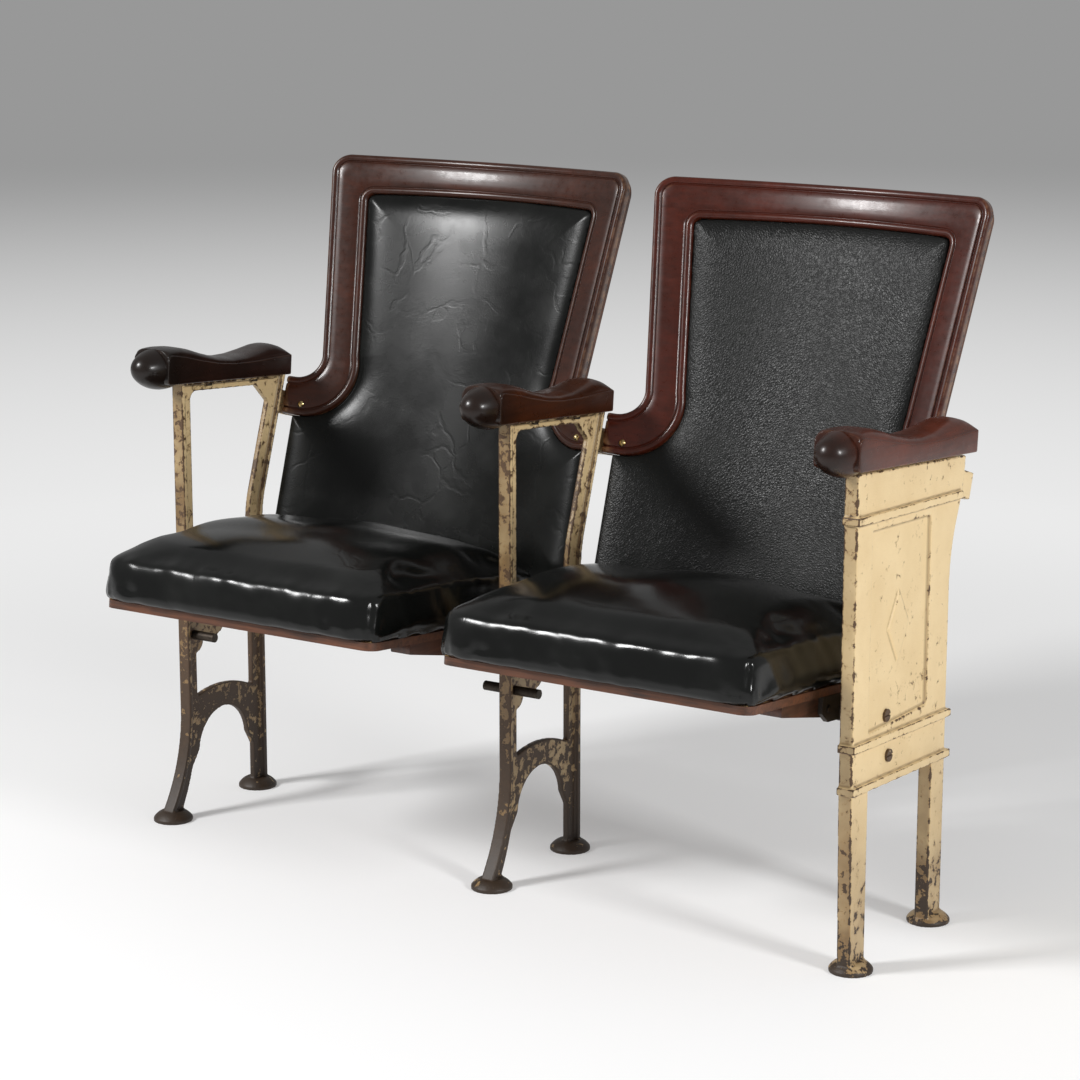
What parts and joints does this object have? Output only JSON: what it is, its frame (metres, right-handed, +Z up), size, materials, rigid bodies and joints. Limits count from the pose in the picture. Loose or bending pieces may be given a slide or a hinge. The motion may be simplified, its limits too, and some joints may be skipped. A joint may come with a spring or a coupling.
{
  "type": "tip up auditorium seat",
  "caption": "Pair of tip up auditorium seats with padded vinyl seats and curved wood-framed backs, hinged between cast iron standards with scrolled wooden arms.",
  "frame": {"origin": "middle of the bounding box, on the floor", "axes": "+X along the row to the viewer's right, +Y from the seats' front to the rear, +Z up"},
  "size_m": [1.073, 0.6068, 0.8546],
  "materials": {
    "painted_iron": "satin, chipped",
    "cast_iron": "rough",
    "stained_hardwood": "gloss varnish, worn",
    "plywood": "satin",
    "pine": "raw",
    "black_vinyl": "semi gloss",
    "padding": "matt",
    "rubber": "matt",
    "steel": "satin",
    "brass": "dull"
  },
  "bodies": {
    "root": {"standard_left": "painted_iron", "standard_middle": "painted_iron", "standard_end": "painted_iron", "arm_left": "stained_hardwood", "arm_middle": "stained_hardwood", "arm_end": "stained_hardwood", "arm_screws": "steel", "pivot_pin_left": "steel", "pivot_pin_middle": "steel", "pivot_pin_end": "steel", "stop_stud_left": "steel", "stop_stud_middle": "steel", "stop_stud_end": "steel", "hinge_washers": "steel", "rest_buffers": "rubber", "back_bolts": "brass", "back_washers": "steel", "back_nuts": "steel", "back_left_frame": "stained_hardwood", "back_left_board": "plywood", "back_left_panel": "black_vinyl", "back_left_screws": "steel", "back_right_frame": "stained_hardwood", "back_right_board": "plywood", "back_right_panel": "black_vinyl", "back_right_screws": "steel"},
    "seat_left": {"seat_left_board": "plywood", "seat_left_rails": "stained_hardwood", "seat_left_bracket_left": "cast_iron", "seat_left_bracket_right": "cast_iron", "seat_left_bushes": "brass", "seat_left_bracket_screws": "steel", "seat_left_box_frame": "pine", "seat_left_board_screws": "steel", "seat_left_springs": "steel", "seat_left_foam": "padding", "seat_left_cover": "black_vinyl"},
    "seat_right": {"seat_right_board": "plywood", "seat_right_rails": "stained_hardwood", "seat_right_bracket_left": "cast_iron", "seat_right_bracket_right": "cast_iron", "seat_right_bushes": "brass", "seat_right_bracket_screws": "steel", "seat_right_box_frame": "pine", "seat_right_board_screws": "steel", "seat_right_springs": "steel", "seat_right_foam": "padding", "seat_right_cover": "black_vinyl"}
  },
  "joints": [
    {"name": "seat_left_hinge", "type": "hinge", "parent": "root", "child": "seat_left", "pos_m": [-0.254, -0.06354, 0.291], "axis": [-1, 0, 0], "range_deg": [0, 78]},
    {"name": "seat_right_hinge", "type": "hinge", "parent": "root", "child": "seat_right", "pos_m": [0.254, -0.06354, 0.291], "axis": [-1, 0, 0], "range_deg": [0, 78]}
  ]
}
